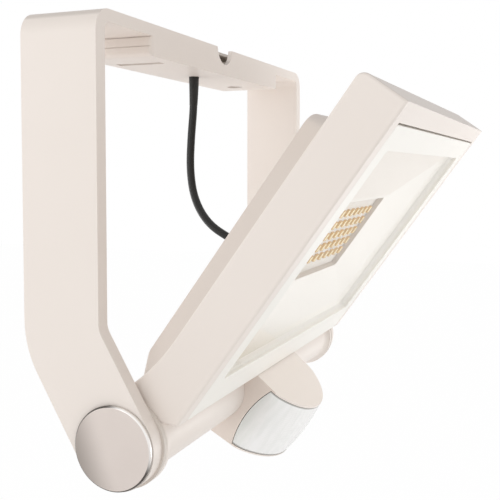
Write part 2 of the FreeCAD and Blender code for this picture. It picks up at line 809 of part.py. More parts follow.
def make_strain_relief_head():
    """Gland on the rear cover that the lead runs into."""
    base = rod_y(gland_base_radius, cover_back, cover_back + gland_base_thick, 0, gland_up)
    tip = Part.makeCone(gland_base_radius - 1, gland_tip_radius, gland_length - gland_base_thick,
                        Vec(0, cover_back + gland_base_thick, gland_up), Vec(0, 1, 0))
    return tilted(tidy(base.fuse(tip)))


def sensor_flat(shrink, taper, side):
    """Start and end of the upper (side 1) or lower (side -1) flat in side view."""
    radius = sensor_radius - shrink
    lean = math.radians(taper)
    reach = sensor_nose + sensor_barrel + 10
    front = (radius - reach * math.sin(lean)) / math.cos(lean)
    start = Vec(0, -radius * math.sin(lean), side * radius * math.cos(lean))
    return start, Vec(0, -reach, side * front)


def sensor_slab(shrink, half):
    """Side view drawn out along X: a round hub whose flats run in towards the front."""
    upper_start, upper_end = sensor_flat(shrink, sensor_taper_top, 1)
    lower_start, lower_end = sensor_flat(shrink, sensor_taper_bottom, -1)
    aside = Vec(-half, 0, 0)
    points = [p + aside for p in (upper_start, upper_end, lower_end, lower_start)]
    edges = [Part.LineSegment(p, q).toShape() for p, q in zip(points, points[1:])]
    edges.append(Part.Arc(points[3], Vec(-half, sensor_radius - shrink, 0), points[0]).toShape())
    return Part.Face(Part.Wire(edges)).extrude(Vec(2 * half, 0, 0))


def sensor_form(shrink):
    """Whole outside of the sensor, made smaller all round by shrink."""
    half = sensor_half_width - shrink
    form = sensor_slab(shrink, half).common(sensor_plan(shrink))
    corners = [edge for edge in form.Edges if is_nose_corner(edge, half)]
    return form.makeFillet(nose_corner_radius - shrink, corners)


def is_nose_corner(edge, half):
    """True for the upright edges between the sides and the round nose."""
    ends = [v.Point for v in edge.Vertexes]
    rise = abs(ends[0].z - ends[-1].z)
    behind = any(p.y > sensor_nose_radius - sensor_nose for p in ends)
    return all(abs(abs(p.x) - half) < 1e-4 for p in ends) and rise > 0.8 * edge.Length and not behind


def sensor_plan(shrink):
    """Plan view: square behind, a barrelled round nose in front."""
    centre = sensor_nose - sensor_nose_radius
    rim = sensor_nose_radius - shrink
    belly = rim + sensor_barrel
    half = lens_edge_half_height
    slope = 2 * sensor_barrel / half
    reach = sensor_radius + 2
    far = rim - slope * (reach - half)
    curve = [
        Part.LineSegment(Vec(0, -centre, -reach), Vec(far, -centre, -reach)).toShape(),
        Part.LineSegment(Vec(far, -centre, -reach), Vec(rim, -centre, -half)).toShape(),
        Part.Arc(Vec(rim, -centre, -half), Vec(belly, -centre, 0), Vec(rim, -centre, half)).toShape(),
        Part.LineSegment(Vec(rim, -centre, half), Vec(far, -centre, reach)).toShape(),
        Part.LineSegment(Vec(far, -centre, reach), Vec(0, -centre, reach)).toShape(),
        Part.LineSegment(Vec(0, -centre, reach), Vec(0, -centre, -reach)).toShape(),
    ]
    nose = Part.Face(Part.Wire(curve)).revolve(Vec(0, -centre, 0), Vec(0, 0, 1), 360)
    rear = box(-reach * 2, reach * 2, -centre, reach, -reach, reach)
    return nose.fuse(rear)


def lens_zone(grow):
    """Zone of the lens: in front of the curved joint on the sides and between the two visors."""
    centre = lens_joint_depth + lens_joint_radius
    half = sensor_half_width + 2
    return rod_x(lens_joint_radius + grow, -half, half, -centre, 0).common(sensor_slab(visor_thick - grow, half))


def tube_bore():
    return rod_x(tube_radius + shaft_gap, -sensor_half_width - 2, sensor_half_width + 2)


def dial_seats(radius, height0, height1):
    """Cylinders square to the lower flat of the sensor, heights measured outwards from it."""
    seats = []
    for side in (-1, 1):
        seat = Part.makeCylinder(radius, height1 - height0, Vec(side * dial_x, -dial_depth, -sensor_radius - height1))
        seat.rotate(Vec(0, 0, 0), Vec(1, 0, 0), -sensor_taper_bottom)
        seats.append(seat)
    return seats


def make_sensor_shell():
    """Both halves of the sensor shell in one piece, without the lens."""
    shell = sensor_form(0.0).cut(sensor_form(sensor_wall))
    shell = shell.cut(tube_bore())
    return shell.cut(lens_zone(lens_joint_gap))


def front_zone():
    reach = sensor_nose * 2
    return box(-reach, reach, -reach, 0, -reach, reach)


def make_sensor_housing():
    """Front half of the shell with seats for the two setting dials."""
    body = make_sensor_shell().common(front_zone())
    for pocket in dial_seats(dial_recess_radius, -dial_recess_depth, 1):
        body = body.cut(pocket)
    for stem in dial_seats(dial_stem + shaft_gap, -sensor_wall - 1, 1):
        body = body.cut(stem)
    return tilted(tidy(body))


def make_sensor_back():
    """Rear half of the shell."""
    body = make_sensor_shell().cut(front_zone())
    return tilted(tidy(body))


def make_sensor_lens():
    """Curved wall round the front of the shell, held between its visors."""
    outer = sensor_form(lens_lap).common(lens_zone(0.0))
    skin = lens_lap + lens_wall
    half = sensor_half_width - skin
    inner = sensor_plan(skin).common(box(-half, half, -sensor_nose * 2, sensor_nose, -sensor_nose, sensor_nose))
    return tilted(tidy(outer.cut(inner)))


def make_sensor_board():
    half = sensor_half_width - sensor_wall - sensor_board_side_gap
    body = box(-half, half, -sensor_board_depth - sensor_board_thick,
               -sensor_board_depth, -sensor_board_half_height, sensor_board_half_height)
    return tilted(body)


def make_pir_element():
    front = sensor_board_depth + sensor_board_thick
    flange = rod_y(pir_flange_radius, -front - pir_flange_thick, -front)
    can = rod_y(pir_radius, -front - pir_height, -front - 0.2)
    window = box(-2.0, 2.0, -front - pir_height - 1, -front - pir_height + 0.3, -1.6, 1.6)
    return tilted(tidy(flange.fuse(can).cut(window)))


def make_dial(index):
    knob = dial_seats(dial_radius, -dial_recess_depth, dial_proud)[index]
    stem = dial_seats(dial_stem, -sensor_wall - 0.8, -dial_recess_depth + 0.1)[index]
    slot = box(-dial_radius, dial_radius, -dial_slot / 2, dial_slot / 2, 0, 1)
    slot.translate(Vec((2 * index - 1) * dial_x, -dial_depth, -sensor_radius - dial_proud))
    slot.rotate(Vec(0, 0, 0), Vec(1, 0, 0), -sensor_taper_bottom)
    return tilted(tidy(knob.fuse(stem).cut(slot)))


def save(name, shape):
    shape.exportStep("parts/" + name + ".step")
    print(name, "solids", len(shape.Solids), "valid", shape.isValid(), "volume", round(shape.Volume))


cap = make_cap()
spacer = make_spacer()
bolt = make_pivot_bolt()
washer = make_washer()

save("bracket", make_bracket())
save("mounting_strip", make_mounting_strip())
save("clamp_screw", make_clamp_screw())
save("terminal_block", make_terminal_block())
save("terminal_screws", make_terminal_screws())
save("strain_relief_top", make_strain_relief_top())
save("lead", make_lead())
save("end_cap_left", mirrored(cap))
save("end_cap_right", cap)
save("spacer_left", mirrored(spacer))
save("spacer_right", spacer)
save("pivot_bolt_left", mirrored(bolt))
save("pivot_bolt_right", bolt)
save("pivot_washer_left", mirrored(washer))
save("pivot_washer_right", washer)
save("pivot_tube", make_pivot_tube())
save("head_housing", make_head_housing())
save("front_bezel", make_front_bezel())
save("glass", make_glass())
save("glass_seal", make_glass_seal())
save("reflector", make_reflector())
save("led_board", make_led_board())
save("led_chips", make_led_chips())
save("board_screws", make_board_screws())
save("driver", make_driver())
save("driver_cover", make_driver_cover())
save("cover_seal", make_cover_seal())
save("cover_screws", make_cover_screws())
save("strain_relief_head", make_strain_relief_head())
save("sensor_housing", make_sensor_housing())
save("sensor_back", make_sensor_back())
save("sensor_lens", make_sensor_lens())
save("sensor_board", make_sensor_board())
save("pir_element", make_pir_element())
save("time_dial", make_dial(0))
save("lux_dial", make_dial(1))
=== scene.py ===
# %% [markdown]
# # A floodlight with a motion sensor
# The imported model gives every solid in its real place, in metres. This notebook dresses it: each visible piece
# gets eased edges and its own finish, the lead is drawn as a smooth curve, and a soft studio lights it all.

import bpy
import bmesh
import json
from math import pi, radians
from mathutils import Matrix, Vector


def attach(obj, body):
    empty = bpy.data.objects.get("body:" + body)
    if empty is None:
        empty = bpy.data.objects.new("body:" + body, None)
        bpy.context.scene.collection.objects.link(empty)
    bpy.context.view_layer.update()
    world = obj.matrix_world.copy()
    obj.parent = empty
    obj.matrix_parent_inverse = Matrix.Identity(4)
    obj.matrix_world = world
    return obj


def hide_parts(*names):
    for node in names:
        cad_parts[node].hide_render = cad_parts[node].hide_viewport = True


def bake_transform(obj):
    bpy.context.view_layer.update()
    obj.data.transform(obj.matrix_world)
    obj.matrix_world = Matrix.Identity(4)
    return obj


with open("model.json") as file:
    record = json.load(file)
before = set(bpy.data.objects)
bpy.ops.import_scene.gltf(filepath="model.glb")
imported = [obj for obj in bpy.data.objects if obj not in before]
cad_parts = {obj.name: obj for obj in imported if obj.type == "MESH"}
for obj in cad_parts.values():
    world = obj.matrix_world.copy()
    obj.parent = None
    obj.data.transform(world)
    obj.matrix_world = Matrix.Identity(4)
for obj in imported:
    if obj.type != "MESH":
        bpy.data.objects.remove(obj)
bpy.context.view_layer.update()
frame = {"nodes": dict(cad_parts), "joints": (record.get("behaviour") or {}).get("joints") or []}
nodes = frame["nodes"]

# %% [markdown]
# ## Where the photographer stood
# The camera stands to the left of the lamp, a little below the crossbar, and looks almost level. Its place was
# worked out from the long edges of the yoke and the head, so the outline of the lamp falls where it should.

# %% Camera
camera_place = Vector((-0.5428, -0.2558, -0.0856))
camera_turn = radians(-67.98)
camera_dip = radians(3.114)
camera_lens = 59.69
sensor_width = 36.0

camera_data = bpy.data.cameras.new("camera")
camera_data.lens = camera_lens
camera_data.sensor_width = sensor_width
camera_data.shift_x = 0.0162
camera_data.shift_y = -0.0691
camera_data.clip_start = 0.01
camera = bpy.data.objects.new("camera", camera_data)
camera.location = camera_place
camera.rotation_euler = (pi / 2 - camera_dip, 0, camera_turn)
bpy.context.collection.objects.link(camera)
bpy.context.scene.camera = camera
print("camera at", [round(c, 3) for c in camera_place])

# %% [markdown]
# ## Writing materials as sums
# A finish is easier to read as arithmetic than as a tangle of nodes. `Signal` wraps one socket and turns
# `a * 0.5 + b` into Math nodes; `Nodes` makes every other node with one method, for the world too; `Finish` owns one
# material and adds what the finishes share.

# %% Signals and finishes


class Signal:
    """One output socket of a material, with the arithmetic used here."""

    def __init__(self, owner, socket):
        self.owner = owner
        self.socket = socket

    def math(self, operation, other=0.0):
        return self.owner.node("ShaderNodeMath", {"operation": operation}, {0: self, 1: other})

    def reflected(self, operation, other):
        return self.owner.node("ShaderNodeMath", {"operation": operation}, {0: other, 1: self})

    def __add__(self, other):
        return self.math("ADD", other)

    def __radd__(self, other):
        return self.reflected("ADD", other)

    def __sub__(self, other):
        return self.math("SUBTRACT", other)

    def __rsub__(self, other):
        return self.reflected("SUBTRACT", other)

    def __mul__(self, other):
        return self.math("MULTIPLY", other)

    def __rmul__(self, other):
        return self.reflected("MULTIPLY", other)


class Nodes:
    """The nodes of one material or of the world."""

    def __init__(self, owner, output_kind):
        owner.use_nodes = True
        self.tree = owner.node_tree
        self.tree.nodes.clear()
        self.output = self.tree.nodes.new(output_kind)

    def node(self, kind, settings=None, inputs=None, output=0):
        made = self.tree.nodes.new(kind)
        for name, value in (settings or {}).items():
            setattr(made, name, value)
        for name, value in (inputs or {}).items():
            if isinstance(value, Signal):
                self.tree.links.new(value.socket, made.inputs[name])
            else:
                made.inputs[name].default_value = value
        return Signal(self, made.outputs[output])

    def axes(self, vector):
        """The three parts of a vector."""
        parts = self.node("ShaderNodeSeparateXYZ", {}, {0: vector}).socket.node
        return [Signal(self, parts.outputs[name]) for name in "XYZ"]

    def ray(self, kind):
        """1 for the rays of a kind and 0 for the others."""
        return self.node("ShaderNodeLightPath", output=kind)

    def blend(self, share, first, second):
        return self.node("ShaderNodeMix", {"data_type": "RGBA"}, {0: share, 6: first, 7: second}, output=2)

    def surface(self, signal):
        self.tree.links.new(signal.socket, self.output.inputs["Surface"])


class Finish(Nodes):
    """A material built node by node, ending in one Principled shader."""

    def __init__(self, name, plain=None):
        self.material = bpy.data.materials.new(name)
        super().__init__(self.material, "ShaderNodeOutputMaterial")
        self.shader = self.node("ShaderNodeBsdfPrincipled", {}, plain or {})
        self.surface(self.shader)

    def feed(self, **inputs):
        names = {"base": "Base Color", "rough": "Roughness", "metal": "Metallic", "normal": "Normal"}
        for name, value in inputs.items():
            self.tree.links.new(value.socket, self.shader.socket.node.inputs[names[name]])

    def place(self):
        return self.node("ShaderNodeTexCoord", output="Object")

    def noise(self, scale, detail=2.0, place=None):
        return self.node("ShaderNodeTexNoise", {}, {"Vector": place or self.place(), "Scale": scale,
                                                    "Detail": detail})

    def ramp(self, value, start, end):
        """Soft step from 0 at the start to 1 at the end."""
        return self.node("ShaderNodeMapRange", {"interpolation_type": "SMOOTHSTEP"}, {0: value, 1: start, 2: end})

    def bump(self, height, depth):
        return self.node("ShaderNodeBump", {}, {"Height": height, "Distance": depth})


def paint(code):
    """Colour from its screen code, as the linear values that a shader wants."""
    values = [int(code[i:i + 2], 16) / 255 for i in (1, 3, 5)]
    return tuple(v / 12.92 if v < 0.04045 else ((v + 0.055) / 1.055) ** 2.4 for v in values) + (1.0,)


print("white code gives", paint("#FFFFFF"))

# %% [markdown]
# ## Finishes
# The castings carry a cream powder coat. Close up such a coat is never flat: it has a fine orange-peel surface
# and a faint cloudiness, so a small noise moves its colour and gloss and a finer one makes the peel. The faces that
# look up are painted a shade darker, as painted shade. The rear cover gets a darker copy of the coat, which is
# painted shade as well.

# %% Powder coat and mouldings
# how much painted shade the faces that look up get
upward_shade_share = 0.9


def coated(name, light, dark, roughness, peel_scale, peel_depth, upward_shade=None):
    """Opaque coat or moulding with faint clouds in its colour, a fine peel, and painted shade on faces that look up.
    """
    finish = Finish(name)
    clouds = finish.noise(9.0, 3.0)
    colour = finish.blend(clouds, paint(dark), paint(light))
    # faces that look up are painted a shade darker: painted shade
    if upward_shade:
        facing = finish.node("ShaderNodeTexCoord", output="Normal")
        upward = finish.ramp(finish.axes(facing)[2], 0.62, 0.80)
        colour = finish.blend(upward * upward_shade_share, colour, paint(upward_shade))
    finish.feed(base=colour)
    grain = finish.noise(peel_scale, 2.0)
    finish.feed(rough=roughness - 0.05 + grain * 0.1)
    finish.feed(normal=finish.bump(grain, peel_depth))
    return finish.material


body_coat = coated("body_coat", "#F0E8E2", "#EBE2DB", 0.42, 1400.0, 0.000012, "#CFC5BE")
# a darker copy of the body coat for the rear cover: painted shade
shaded_cover_coat = coated("shaded_cover_coat", "#DCD1C9", "#D7CCC3", 0.45, 1400.0, 0.000012, "#CFC5BE")
bezel_plastic = coated("bezel_plastic", "#F9F7F2", "#F5F2EC", 0.38, 2200.0, 0.000005)
board_white = coated("board_white", "#EFEAE2", "#E6E0D8", 0.5, 2600.0, 0.000006)
spacer_plastic = coated("spacer_plastic", "#DDD5CD", "#D4CBC3", 0.5, 1800.0, 0.000006)
terminal_plastic = coated("terminal_plastic", "#ECEBE4", "#E2E1DA", 0.45, 1500.0, 0.000006)
driver_plastic = coated("driver_plastic", "#E6E6E2", "#DADAD6", 0.55, 900.0, 0.00002)
dial_plastic = coated("dial_plastic", "#A3A39E", "#94948F", 0.42, 2000.0, 0.00001)
board_green = coated("board_green", "#2F7048", "#245A39", 0.35, 1200.0, 0.00001)
seal_grey = coated("seal_grey", "#FDFCF9", "#F8F7F3", 0.7, 2500.0, 0.00003)
strip_coat = coated("strip_coat", "#E6DED7", "#DED6CE", 0.45, 1400.0, 0.000012)
print("coats and mouldings made")

# %% [markdown]
# Rubber and the sheath of the lead are dark, and show mostly by their soft sheen. Fine scuffs along the sheath
# break that sheen up.

# %% Rubber


def rubber(name, light, dark, roughness):
    """Dark rubber with fine scuffs in its colour, gloss and surface."""
    finish = Finish(name, {"Specular IOR Level": 0.45})
    scuffs = finish.noise(420.0, 4.0)
    finish.feed(base=finish.blend(scuffs, paint(dark), paint(light)))
    finish.feed(rough=roughness - 0.08 + scuffs * 0.16)
    finish.feed(normal=finish.bump(scuffs, 0.00002))
    return finish.material


lead_sheath = rubber("lead_sheath", "#12110E", "#0B0A08", 0.36)
relief_rubber = rubber("relief_rubber", "#171612", "#100F0C", 0.42)
print("rubbers made")

# %% [markdown]
# The reflector is one white moulding. The short collar round the light source sits deepest and is painted a shade
# darker than the sloping walls, as painted shade, so the colour steps down where the depth passes the foot of the
# walls. The upper wall is painted a warmer, darker shade than its neighbours, which shows the two slanting creases
# where they meet, and the lower wall has a warm painted shade towards its left corner. The window is the reflector's
# wide mouth, and the throat is where the walls meet the collar.

# %% Reflector
pivot = Vector(frame["joints"][0]["pos_m"])
head_lean = radians(35.7)
collar_depth = -0.0028
window_half_width = 0.130
window_bottom = 0.052
window_top = 0.205
throat_half_width = 0.049
throat_top = 0.1578


def head_axes(finish):
    """Object place turned into the head's own directions: across, depth and height."""
    moved = finish.node("ShaderNodeVectorMath", {"operation": "SUBTRACT"}, {0: finish.place(), 1: pivot})
    level = finish.node("ShaderNodeVectorRotate", {"rotation_type": "X_AXIS"}, {"Vector": moved, "Angle": -head_lean})
    return finish.axes(level)


def reflector_finish():
    """White moulding with painted shade on its upper wall, towards its lower left corner and on its collar."""
    finish = Finish("reflector_white")
    across, depth, height = head_axes(finish)
    clouds = finish.noise(9.0, 3.0)
    walls = finish.blend(clouds, paint("#FBF8F2"), paint("#FFFCF7"))
    beside = (across.math("ABSOLUTE") - throat_half_width) * (1 / (window_half_width - throat_half_width))
    above = (height - throat_top) * (1 / (window_top - throat_top))
    # painted shade on the upper wall
    upper_wall_shade = finish.ramp(above - beside, -0.04, 0.04) * finish.ramp(above, 0.0, 0.1)
    walls = finish.blend(upper_wall_shade, walls, paint("#F6F0E9"))
    # painted shade towards the lower left corner
    corner_shade = finish.ramp(height + across * 0.22, window_bottom + 0.012, window_bottom - 0.03)
    walls = finish.blend(corner_shade * 0.9, walls, paint("#CFC4B2"))
    # painted shade on the collar
    collar_shade = depth.math("GREATER_THAN", collar_depth)
    finish.feed(base=finish.blend(collar_shade, walls, paint("#D6CBC1")))
    grain = finish.noise(1800.0, 2.0)
    finish.feed(rough=0.4 + grain * 0.1)
    finish.feed(normal=finish.bump(grain, 0.000004))
    return finish.material


reflector_white = reflector_finish()
print("reflector made")

# %% [markdown]
# The flat sides of the sensor's shell are painted a little darker than the flats above and below, as painted shade,
# and are a little duller.

# %% Sensor shell
shell_side = 0.0376


def shell_finish():
    """Pale moulding with painted shade on its flat sides, which are also duller."""
    finish = Finish("sensor_plastic")
    across = head_axes(finish)[0]
    clouds = finish.noise(9.0, 3.0)
    flats = finish.blend(clouds, paint("#F5ECE5"), paint("#F9F1EB"))
    # the flat sides get a painted shade
    beside = across.math("ABSOLUTE").math("GREATER_THAN", shell_side)
    finish.feed(base=finish.blend(beside, flats, paint("#E6DAD1")))
    grain = finish.noise(2200.0, 2.0)
    finish.feed(rough=0.35 + grain * 0.1 + beside * 0.1)
    finish.feed(normal=finish.bump(grain, 0.000006))
    return finish.material


sensor_plastic = shell_finish()
print("sensor shell made")

# %% [markdown]
# The end caps are turned aluminium. Turning leaves fine rings about the centre, so the noise reads the distance from
# the pivot axis and nothing else. The rear half of the face gets a painted shade, and the rim is painted dark all
# round, as painted shadow, but for a painted highlight arc at the top, towards the front.

# %% Metals


def small_metal(name, light, dark):
    """Metal of screws and terminals, with fine marks from handling."""
    finish = Finish(name, {"Metallic": 1.0})
    marks = finish.noise(1500.0, 3.0)
    finish.feed(base=finish.blend(marks, paint(dark), paint(light)))
    finish.feed(rough=0.25 + marks * 0.1)
    finish.feed(normal=finish.bump(marks, 0.000004))
    return finish.material


rim_radius = 0.0221


def turned_metal(name, light, dark):
    """Aluminium with fine rings about the pivot axis, painted shade to the rear, and a rim of painted shadow with a
    painted highlight arc.
    """
    finish = Finish(name)
    centred = finish.node("ShaderNodeVectorMath", {"operation": "SUBTRACT"},
                          {0: finish.place(), 1: pivot})
    flat = finish.node("ShaderNodeVectorMath", {"operation": "MULTIPLY"}, {0: centred, 1: (0, 1, 1)})
    radius = finish.node("ShaderNodeVectorMath", {"operation": "LENGTH"}, {0: flat}, output="Value")
    ring_place = finish.node("ShaderNodeCombineXYZ", {}, {0: radius})
    rings = finish.noise(5200.0, 2.0, ring_place)
    clouds = finish.noise(60.0, 2.0)
    face = finish.blend(rings * 0.6 + clouds * 0.4, paint(dark), paint(light))
    depth, height = finish.axes(centred)[1:]
    # painted shade on the rear half of the face
    rear_shade = finish.ramp(depth + height * -0.35, 0.002, 0.026)
    shaded = finish.blend(rear_shade * 0.75, face, paint("#8F8781"))
    # rim: painted shadow all round, with a painted highlight arc at the top front
    rim_highlight = finish.ramp(height * 0.7 - depth, 0.012, 0.022)
    rim_shade_and_highlight = finish.blend(rim_highlight, paint("#5F5A56"), paint("#F4F1EE"))
    beyond = radius.math("GREATER_THAN", rim_radius)
    finish.feed(base=finish.blend(beyond, shaded, rim_shade_and_highlight))
    finish.feed(metal=1.0 - rings * 0.04)
    finish.feed(rough=0.32 + rings * 0.08)
    finish.feed(normal=finish.bump(rings, 0.000003))
    return finish.material


cap_metal = turned_metal("cap_metal", "#E6DDD7", "#DACFC9")
screw_steel = small_metal("screw_steel", "#C4C4C4", "#A6A6A6")
brass = small_metal("brass", "#D6B36A", "#BC9750")
print("metals made")

# %% [markdown]
# The clear glass in front of the reflector is drawn as see-through, with a mirror on top that grows at grazing
# angles. The sensor's lens is a milky moulding: it scatters light under a satin skin, its ribs and grooves show as
# faint streaks, its sides get a grey painted shade, and a thin line of painted shade marks its edge.

# %% Glass and lens


glass_tint = (0.999, 0.997, 0.994, 1.0)


def clear_glass():
    """See-through sheet with faint smears in its mirror."""
    finish = Finish("clear_glass", {"Base Color": paint("#FFFFFF"), "Metallic": 1.0})
    smears = finish.noise(35.0, 2.0)
    finish.feed(rough=0.02 + smears * 0.03)
    clear = finish.node("ShaderNodeBsdfTransparent", {}, {"Color": glass_tint})
    grazing = finish.node("ShaderNodeLayerWeight", {}, {"Blend": 0.5}, output="Facing")
    mirror = 0.02 + 0.3 * grazing.math("POWER", 5.0)
    finish.surface(finish.node("ShaderNodeMixShader", {}, {0: mirror, 1: clear, 2: finish.shader}))
    return finish.material


ribs_per_radian = 46.0
grooves_per_metre = 4200.0
lens_round_centre = 0.012
lens_half_height = 0.0260
visor_slope_top = 0.0612
visor_slope_bottom = 0.1139


def milky_lens():
    """Milky moulding with upright ribs and level grooves, with painted shade at its sides and along its edge."""
    finish = Finish("milky_lens", {"Specular IOR Level": 0.6, "Subsurface Weight": 0.1,
                                   "Subsurface Radius": (0.001, 0.001, 0.001), "Subsurface Scale": 1.0,
                                   "Coat Weight": 0.35, "Coat Roughness": 0.12})
    across, depth, height = head_axes(finish)
    ahead = 0.0 - depth
    around = across.math("ARCTAN2", ahead - lens_round_centre)
    ribs = (around * ribs_per_radian).math("SINE").math("ABSOLUTE").math("POWER", 6.0)
    grooves = (height * grooves_per_metre).math("SINE")
    # painted shade towards the sides of the lens
    sides = finish.ramp(around.math("ABSOLUTE"), 0.8, 1.6)
    clouds = finish.noise(40.0, 2.0)
    streaks = finish.noise(14.0, 2.0, finish.node("ShaderNodeCombineXYZ", {}, {0: around, 1: height * 3.0}))
    pale = finish.blend(finish.ramp(streaks, 0.35, 0.65), paint("#F9FAF9"), paint("#FFFFFF"))
    body = finish.blend(sides, pale, paint("#B5B9B1"))
    # painted shade along a thin line at the lens edge
    under_top = lens_half_height - ahead * visor_slope_top - height
    over_bottom = lens_half_height - ahead * visor_slope_bottom + height
    edge = finish.ramp(under_top.math("MINIMUM", over_bottom), 0.0011, 0.0003)
    finish.feed(base=finish.blend(edge * 0.7, body, paint("#8D8983")))
    finish.feed(rough=0.2 + clouds * 0.08)
    finish.feed(normal=finish.bump(ribs * 0.7 + grooves * 0.3, 0.00002))
    return finish.material


glass_finish = clear_glass()
lens_finish = milky_lens()
print("glass and lens made")

# %% [markdown]
# Each emitter is a pad of yellow phosphor in an amber frame. The phosphor is a silicone full of yellow powder, so
# its colour is grainy; the frame is smoother and darker.

# %% Phosphor and frame


def grainy(name, light, dark, roughness, scale):
    """Matt filling whose colour and surface show its grains."""
    finish = Finish(name)
    powder = finish.noise(scale, 3.0)
    finish.feed(base=finish.blend(powder, paint(dark), paint(light)))
    finish.feed(rough=roughness + powder * 0.2)
    finish.feed(normal=finish.bump(powder, 0.00001))
    return finish.material


phosphor_yellow = grainy("phosphor_yellow", "#FFF4C8", "#FFE6A0", 0.3, 3500.0)
frame_amber = grainy("frame_amber", "#E6BC6C", "#D8A850", 0.4, 1800.0)
print("emitter finishes made")

# %% [markdown]
# ## Easing the edges
# No cast or moulded edge is truly sharp, and it is the thin highlight along an edge that makes a piece look
# real. A copy of each solid is merged, its flat facets are joined again, and its sharp edges are bevelled. Weighted
# normals then keep the large flats flat beside the rounded edges.

# %% Eased copies
sharp_angle = radians(28)
facet_angle = radians(0.6)
smooth_angle = radians(35)
merge_distance = 0.000002


def finished_piece(name, mesh, body, material, stands_for):
    """Put a mesh into the scene as a piece that rides on a body and stands for solids of the frame."""
    piece = bpy.data.objects.new(name, mesh)
    bpy.context.collection.objects.link(piece)
    mesh.materials.clear()
    mesh.materials.append(material)
    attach(piece, body)
    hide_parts(*stands_for)
    return piece


def smooth_between_edges(mesh):
    mesh.shade_smooth()
    mesh.set_sharp_from_angle(angle=smooth_angle)


def eased(node, body, material, width, segments=2):
    """Copy of a node's solid with its sharp edges bevelled."""
    work = bmesh.new()
    work.from_mesh(nodes[node].data)
    bmesh.ops.remove_doubles(work, verts=work.verts, dist=merge_distance)
    bmesh.ops.dissolve_limit(work, angle_limit=facet_angle, verts=work.verts, edges=work.edges)
    sharp = [e for e in work.edges if e.is_manifold and e.calc_face_angle() > sharp_angle]
    bmesh.ops.bevel(work, geom=sharp, offset=width, offset_type="OFFSET", segments=segments, profile=0.5,
                    affect="EDGES", material=-1, clamp_overlap=True)
    mesh = bpy.data.meshes.new(node + "_eased")
    work.to_mesh(mesh)
    work.free()
    smooth_between_edges(mesh)
    print(node, "eased,", len(mesh.polygons), "faces")
    piece = finished_piece(node + "_eased", mesh, body, material, [node])
    flats = piece.modifiers.new("flats", "WEIGHTED_NORMAL")
    flats.keep_sharp = True


# %% [markdown]
# ## The lead
# A light three-core lead hangs from the crossbar to the back of the head. Its route is the list of points that
# the solid has too, here in metres; a NURBS curve through them gives the soft, even bend of a sheathed cable.

# %% Lead
lead_diameter = 0.0056
lead_route = [
    (0.0, 0.0008, -0.0137),
    (0.0, 0.0008, -0.0375),
    (0.0, 0.0032, -0.0615),
    (0.0, 0.0043, -0.0860),
    (0.0, 0.0006, -0.1075),
    (0.0, -0.0105, -0.1245),
    (0.0, -0.0280, -0.1345),
    (0.0, -0.04125, -0.14071),
    (0.0, -0.05018, -0.14713),
]
lead_curve = bpy.data.curves.new("lead", "CURVE")
lead_curve.dimensions = "3D"
lead_curve.resolution_u = 16
spline = lead_curve.splines.new("NURBS")
spline.points.add(len(lead_route) - 1)
for point, place in zip(spline.points, lead_route):
    point.co = (*place, 1.0)
spline.order_u = 3
spline.use_endpoint_u = True
route_object = bpy.data.objects.new("lead_route", lead_curve)
lead_line = [tuple(v.co) for v in bpy.data.meshes.new_from_object(route_object).vertices]
lead_curve.bevel_depth = lead_diameter / 2
lead_curve.bevel_resolution = 8
lead_curve.use_fill_caps = True
lead_mesh = bpy.data.meshes.new_from_object(route_object)
bpy.data.objects.remove(route_object)
lead_mesh.shade_smooth()
lead_mesh.materials.clear()
lead_mesh.materials.append(lead_sheath)
lead = bpy.data.objects.new("lead_sheathed", lead_mesh)
bpy.context.collection.objects.link(lead)
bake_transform(lead)
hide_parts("lead")
print("lead drawn through", len(lead_route), "points")

# %% [markdown]
# Where the lead leaves the crossbar a rubber sleeve keeps it from kinking. It is held by a flange inside the box,
# and outside it tapers down to the sheath while it follows the lead's first bend.

# %% Sleeve at the crossbar
sleeve_profile = [(-0.0137, 0.0028), (-0.0137, 0.0056), (-0.0157, 0.0056), (-0.0157, 0.0036), (-0.0187, 0.0036)]
sleeve_end = (-0.0387, 0.0029)
sleeve_steps = 10
sleeve_corners = 32


def lead_depth(height):
    """Place of the lead's middle, along Y, at a height."""
    for (_, y0, z0), (_, y1, z1) in zip(lead_line, lead_line[1:]):
        if z1 <= height <= z0 and z1 < z0:
            return y0 + (y1 - y0) * (z0 - height) / (z0 - z1)
    return lead_line[0][1]


def ring_into(work, height, radius):
    """Level ring round the lead's middle, as its edges."""
    place = Matrix.Translation((0, lead_depth(height), height))
    verts = bmesh.ops.create_circle(work, cap_ends=False, segments=sleeve_corners, radius=radius,
                                    matrix=place)["verts"]
    return list({edge for vert in verts for edge in vert.link_edges})


def sleeve_mesh():
    work = bmesh.new()
    start, top = sleeve_profile[-1]
    end, low = sleeve_end
    taper = [(start + (end - start) * i / sleeve_steps, top + (low - top) * i / sleeve_steps)
             for i in range(1, sleeve_steps + 1)]
    rounded = [(end - 0.0002, low - 0.00006)]
    rings = [ring_into(work, height, radius) for height, radius in sleeve_profile + taper + rounded]
    for ring, following in zip(rings, rings[1:]):
        bmesh.ops.bridge_loops(work, edges=ring + following)
    bmesh.ops.holes_fill(work, edges=rings[0] + rings[-1], sides=sleeve_corners)
    bmesh.ops.recalc_face_normals(work, faces=work.faces)
    mesh = bpy.data.meshes.new("sleeve")
    work.to_mesh(mesh)
    work.free()
    print("sleeve of", len(rings), "rings,", len(mesh.polygons), "faces")
    return mesh


# %% [markdown]
# ## Castings and mouldings
# The yoke, the head and the rest keep their solids' shapes. Castings get wider eased edges than thin mouldings.

